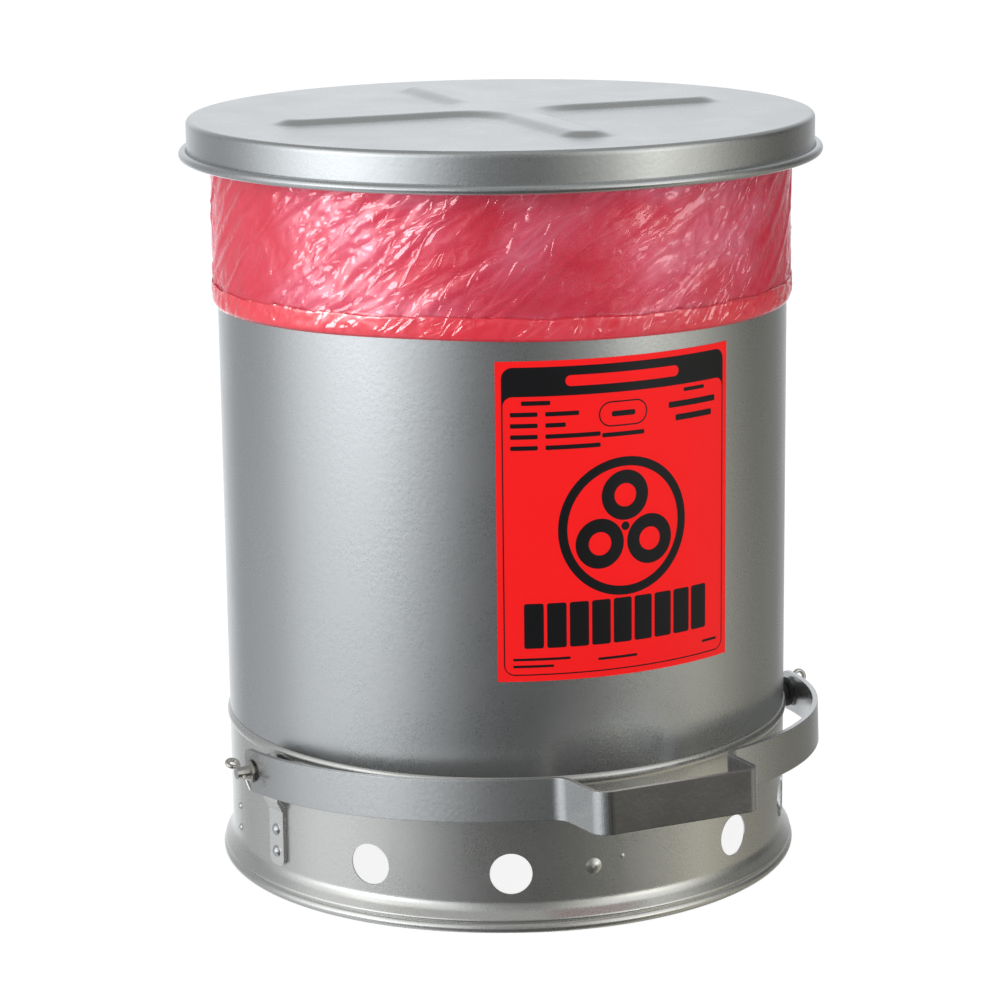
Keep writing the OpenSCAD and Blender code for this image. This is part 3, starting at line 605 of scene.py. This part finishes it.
cuff = simulate(cuff)
cuff = midpoints(midpoints(cuff, 0, False), 1, True)
radius = np.hypot(cuff[..., 0], cuff[..., 1]) / MM
turn = np.arctan2(cuff[..., 0], -cuff[..., 1])
height = cuff[..., 2] / MM
rise = crumple(turn, height)
low = height[0][None]
ends = smooth(height, low + 2, low + 18) * (1 - smooth(height, RIM_TOP - 20, RIM_TOP - 7))
over = cuff_radius(height)
radius = over + np.clip(radius - over, -0.4, 1.4) * 0.7 + rise * (0.12 + 0.88 * ends)
radius = np.clip(radius, 177.75, 186.5)
cuff = polar(turn, radius, height)

# over the rim and down inside, then the double hem outside
steps = cuff.shape[1]
angle = turn[-1]
rim_path = [polar(angle, RIM_MID_R + RIM_ROLL * np.cos(a), RIM_TOP - 4.6 + RIM_ROLL * np.sin(a))
            for a in np.radians(np.arange(15, 181, 15))]
inner_rows = []
for depth in np.concatenate([np.linspace(9, 316, 52), np.linspace(324, 348, 6)]):
    z = np.full_like(angle, RIM_TOP - depth)
    deep = smooth(RIM_TOP - 4 - z, 0, 60)
    pleat = creases(angle, z, 150.0, 24.0, 84, 61, 1.2)
    fine = creases(angle, z, 30.0, 9.0, 70, 67, 1.8)
    pull = smooth(RIM_TOP - 306 - z, 0, 46) * 26
    inner_rows.append(polar(angle, 174.6 - deep * (1.2 + 4.2 * pleat + 0.9 * fine) - pull, z))
HEM_ROWS = 9
spread = range(-5, 6)
under = radius[:HEM_ROWS]
proud = np.max([np.roll(under, k, 1) for k in spread], axis=0)
proud = np.mean([np.roll(proud, k, 1) for k in spread], axis=0)
climb = np.linspace(0, 1, HEM_ROWS)[:, None]
pucker = creases(turn[:HEM_ROWS], height[:HEM_ROWS], 16.0, 5.5, 52, 71, 1.6)
pucker *= np.sin(math.pi * climb) ** 0.6 * (climb < 1)
hem = polar(turn[:HEM_ROWS], proud + 0.3 + 0.75 * pucker, height[:HEM_ROWS] - 0.4 * (climb == 0))
film_rows = np.concatenate([hem[::-1], cuff[:-1], np.stack(rim_path)])
film = sheet("liner_cuff", film_rows)
inside = sheet("liner_inside", np.concatenate([np.stack(rim_path[-1:]), np.stack(inner_rows)]),
               caps=(-1,))
for piece in (film, inside):
    co = np.empty(len(piece.data.vertices) * 3)
    piece.data.vertices.foreach_get("co", co)
    x, y, z = co.reshape(-1, 3).T
    folded = (np.arange(len(x)) < HEM_ROWS * steps) * (piece is film) * 1.0
    # the first attribute marks the crumpled patches, where the film's colour also paints a pink
    # sheen
    level = np.clip(crumpled(np.arctan2(x, -y), z / MM) * (1 - 0.3 * folded) + 0.12 * folded, 0, 1)
    for layer, value in (("crumple_and_sheen", level), ("folded", folded)):
        attribute = piece.data.attributes.new(layer, "FLOAT", "POINT")
        attribute.data.foreach_set("value", value.astype(np.float32))
for piece, thick in ((film, 0.25), (inside, 0.3)):
    dress(piece, finishes["film_red"])
    solid = piece.modifiers.new("thickness", "SOLIDIFY")
    solid.thickness = thick * MM
    solid.offset = 0.0
    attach(piece, "can")
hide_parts("liner_bag")


# ---------------------------------------------------------------- lid
# Lengths and heights in this section are in mm.
lid_low, lid_high = (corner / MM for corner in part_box("lid_shell"))
LID_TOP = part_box("lid_gasket")[1].z / MM + 0.85
SHEET, RIDGE = 0.8, lid_high.z - LID_TOP
RIDGE_HALF, RIDGE_BLEND = 130, 34
BEAD_R, LID_EDGE = 2.9, 3.0
LID_R = lid_high.x - 2 * BEAD_R + SHEET
BEAD_Z = lid_low.z + BEAD_R
bead_from = math.acos((LID_R - (LID_R - SHEET + BEAD_R)) / BEAD_R)


def ridge_lift(x, y):
    """Height of the pressed cross: two round-ended ridges, blended where they meet."""
    turned = math.radians(-3)
    a = x * math.cos(turned) + y * math.sin(turned)
    b = y * math.cos(turned) - x * math.sin(turned)
    d, e = (np.hypot(np.maximum(np.abs(p) - RIDGE_HALF, 0), q) for p, q in ((a, b), (b, a)))
    blend = np.maximum(RIDGE_BLEND - np.abs(d - e), 0) / RIDGE_BLEND
    return RIDGE * (1 - smooth(np.minimum(d, e) - blend * blend * RIDGE_BLEND / 4, 6, 20))


def arc(cx, cz, r, start, end, steps):
    return [(cx + r * math.cos(a), cz + r * math.sin(a)) for a in np.linspace(start, end, steps)]


edge_at = LID_R - LID_EDGE, LID_TOP - LID_EDGE
outline = [(r, LID_TOP) for r in np.linspace(1.5, edge_at[0] - 1, 96)]
outline += arc(*edge_at, LID_EDGE, math.pi / 2, 0, 9)
outline += [(LID_R, z) for z in np.linspace(edge_at[1] - 1, BEAD_Z + 3, 5)]
outline += arc(LID_R - SHEET + BEAD_R, BEAD_Z, BEAD_R, bead_from, -math.pi, 26)
outline += [(LID_R - SHEET, z) for z in np.linspace(BEAD_Z + 2, edge_at[1] - 1, 4)]
outline += arc(*edge_at, LID_EDGE - SHEET, 0, math.pi / 2, 5)
outline += [(r, LID_TOP - SHEET) for r in np.linspace(edge_at[0] - 2, 1.5, 64)]
radii, heights = np.array(outline).T[:, :, None]
around = np.arange(384) / 384 * TURN
points = polar(around[None], radii, heights)
flat_part = (radii < edge_at[0]) * 1.0
points[..., 2] += ridge_lift(points[..., 0] / MM, points[..., 1] / MM) * flat_part * MM
lid = sheet("lid_sheet", points, caps=(0, -1))
bm = bmesh.new()
bm.from_mesh(lid.data)
bmesh.ops.recalc_face_normals(bm, faces=bm.faces)
bm.to_mesh(lid.data)
bm.free()
lid.data.set_sharp_from_angle(angle=math.radians(34))
dress(lid, finishes["silver_paint"])
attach(lid, "lid")
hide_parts("lid_shell")


# ---------------------------------------------------------------- studio
def toward(azimuth, rise):
    """The unit vector at this azimuth (0 toward the pedal, growing toward +X) and rise."""
    return Vector((math.sin(azimuth) * math.cos(rise), -math.cos(azimuth) * math.cos(rise),
                   math.sin(rise)))


scene = bpy.context.scene
scene.view_settings.view_transform = "Standard"

VIEW_AZIMUTH, VIEW_RISE, VIEW_DISTANCE = math.radians(-25.0), math.radians(12.82), 2.1169
AIM = Vector((0, 0, 0.237))
AIM_RIGHT, AIM_UP, ROLL = -0.0028, -0.0135, math.radians(0.65)
back = toward(VIEW_AZIMUTH, VIEW_RISE)
right = Vector((math.cos(VIEW_AZIMUTH), math.sin(VIEW_AZIMUTH), 0))
up = back.cross(right)
camera = bpy.data.objects.new("camera", bpy.data.cameras.new("camera"))
scene.collection.objects.link(camera)
camera.data.lens, camera.data.sensor_width = 120.48, 36
camera.location = AIM + back * VIEW_DISTANCE
aim = AIM + right * AIM_RIGHT + up * AIM_UP
look = (aim - camera.location).to_track_quat("-Z", "Y").to_matrix().to_4x4()
camera.matrix_world = Matrix.Translation(camera.location) @ look @ Matrix.Rotation(-ROLL, 4, "Z")
camera.data.clip_start, camera.data.clip_end = 0.1, 60
scene.camera = camera

# The room is white to the eye. What the metal reflects is a soft band of light and shade round the
# horizon: bright behind the bin, a broad window on the camera's left and a weaker one on its right.
# Each entry: degrees from the camera's side, positive to its right; light at 7 degrees below the
# horizon and above; light at 14 degrees below it and lower.
LIGHT_ROUND = (
    (-180, 1.10, 1.9), (-160, 0.95, 1.1), (-140, 0.45, 0.38), (-120, 0.29, 0.50),
    (-105, 0.44, 0.50), (-88, 1.15, 0.76), (-68, 2.2, 0.62), (-50, 2.7, 0.38),
    (-32, 1.55, 0.13), (-12, 0.28, 0.04), (15, 0.14, 0.02), (38, 0.75, 0.02),
    (54, 2.0, 0.03), (68, 1.35, 0.20), (86, 0.42, 0.50), (104, 0.09, 0.33),
    (122, 0.04, 0.21), (148, 0.30, 0.24), (166, 0.90, 0.7), (180, 1.10, 1.9))
WHITE = 0.4  # the light's level 1, before the background's strength
world = bpy.data.worlds.new("studio")
scene.world = world
sky = Shader(world, "OutputWorld")
facing = sky.add("SeparateXYZ", Vector=sky.add("NewGeometry").outputs["Incoming"]).outputs
ray_x, ray_y, above = (sky.math("MULTIPLY", axis, -1.0) for axis in facing)
near_x, near_y = Vector((back.x, back.y)).normalized()
to_right = sky.math("ADD", sky.math("MULTIPLY", ray_x, right.x),
                    sky.math("MULTIPLY", ray_y, right.y))
to_near = sky.math("ADD", sky.math("MULTIPLY", ray_x, near_x),
                   sky.math("MULTIPLY", ray_y, near_y))
azimuth = sky.math("DIVIDE", sky.math("ARCTAN2", to_right, to_near), TURN)


def light_band(column):
    """The light round the horizon from one column, slightly warm on the camera's right."""
    stops = []
    for stop in LIGHT_ROUND:
        degrees, level = stop[0], stop[column] * WHITE
        warm = smooth(degrees, -20, 60) * (1 - smooth(degrees, 120, 170)) * column
        colour = level * (0.975 + 0.035 * warm), level, level * (1.03 - 0.10 * warm)
        stops.append((degrees / 360 + 0.5, colour))
    return sky.ramp(sky.math("ADD", azimuth, 0.5), *stops)


light = sky.mix(sky.range(above, -0.235, -0.115), light_band(2), light_band(1))
behind = sky.range(sky.math("ABSOLUTE", azimuth), 0.29, 0.36)
ahead = sky.math("SUBTRACT", 1.0, behind)
# the windows end a little above the horizon, so that a flat top doesn't mirror them
over = sky.math("MULTIPLY", sky.range(above, 0.07, 0.20), ahead)
light = sky.mix(over, light, (0.40, 0.405, 0.405), "DARKEN")
shade = sky.math("ADD", sky.math("MULTIPLY", sky.range(above, 0.26, 0.50), behind),
                 sky.math("MULTIPLY", sky.range(above, 0.55, 0.80), ahead))
light = sky.mix(shade, light, (0.15, 0.152, 0.15))
paths = sky.add("LightPath").outputs
light = sky.mix(paths["Is Glossy Ray"], (0.26, 0.262, 0.262), light)
light = sky.mix(paths["Is Camera Ray"], light, (WHITE, WHITE, WHITE))
sky.surface(sky.add("Background", Color=light, Strength=1 / WHITE))
world.cycles.sampling_method = "NONE"


def softbox(name, azimuth, rise, distance, width, tall, power, glossy=True, colour=(1, 1, 1)):
    """An area lamp aimed at the bin, azimuth from the camera's side, positive to its right."""
    place = toward(VIEW_AZIMUTH + math.radians(azimuth), math.radians(rise)) * distance + AIM
    data = bpy.data.lights.new(name, "AREA")
    data.shape, data.size, data.size_y = "RECTANGLE", width, tall
    data.energy, data.color = power, colour
    lamp = bpy.data.objects.new(name, data)
    lamp.location = place
    lamp.rotation_euler = (AIM - place).to_track_quat("-Z", "Y").to_euler()
    lamp.visible_glossy = glossy
    scene.collection.objects.link(lamp)
    return lamp


def only_on(lamp, pieces):
    """The lamp lights these pieces and nothing else."""
    group = bpy.data.collections.new(lamp.name + "_on")
    for piece in pieces:
        group.objects.link(piece)
    lamp.light_linking.receiver_collection = group


softbox("fill", 5, 24, 2.6, 2.2, 1.6, 21, glossy=False)
softbox("key", -60, 22, 2.4, 0.7, 1.2, 1.5, glossy=True, colour=(0.97, 0.99, 1))
softbox("overhead", 150, 70, 2.2, 1.6, 1.6, 6, glossy=False)
only_on(softbox("film_fill", -62, 16, 2.2, 1.0, 1.0, 26, glossy=False), (film, inside))
for lamp in (softbox("film_key", -62, 14, 2.2, 1.4, 1.9, 110),
             softbox("film_glint", 62, 16, 2.2, 0.9, 1.4, 16)):
    lamp.visible_diffuse = False
    only_on(lamp, (film, inside))

floor_mesh = bpy.data.meshes.new("floor")
FLOOR_R = 14.0
ring = ring_loop(0, 0, FLOOR_R, 96)
floor_mesh.from_pydata([(x, y, 0) for x, y in ring], [], [tuple(range(len(ring)))])
floor = bpy.data.objects.new("floor", floor_mesh)
scene.collection.objects.link(floor)
paper = material("paper_floor")
tooth = paper.noise(300, 3, 0.6)
diffuse = paper.add("BsdfDiffuse", Color=(0.25, 0.25, 0.25, 1),
                    Normal=paper.bump(tooth, 0.05, 0.0003))
glow = paper.add("Emission", Color=(1, 1, 1, 1), Strength=0.86)
both = paper.add("AddShader")
paper.put(both, "0", diffuse)
paper.put(both, "1", glow)
floor_mesh.materials.append(paper.surface(both))
floor.visible_glossy = False  # the sheet metal reflects the room's soft band, not the paper
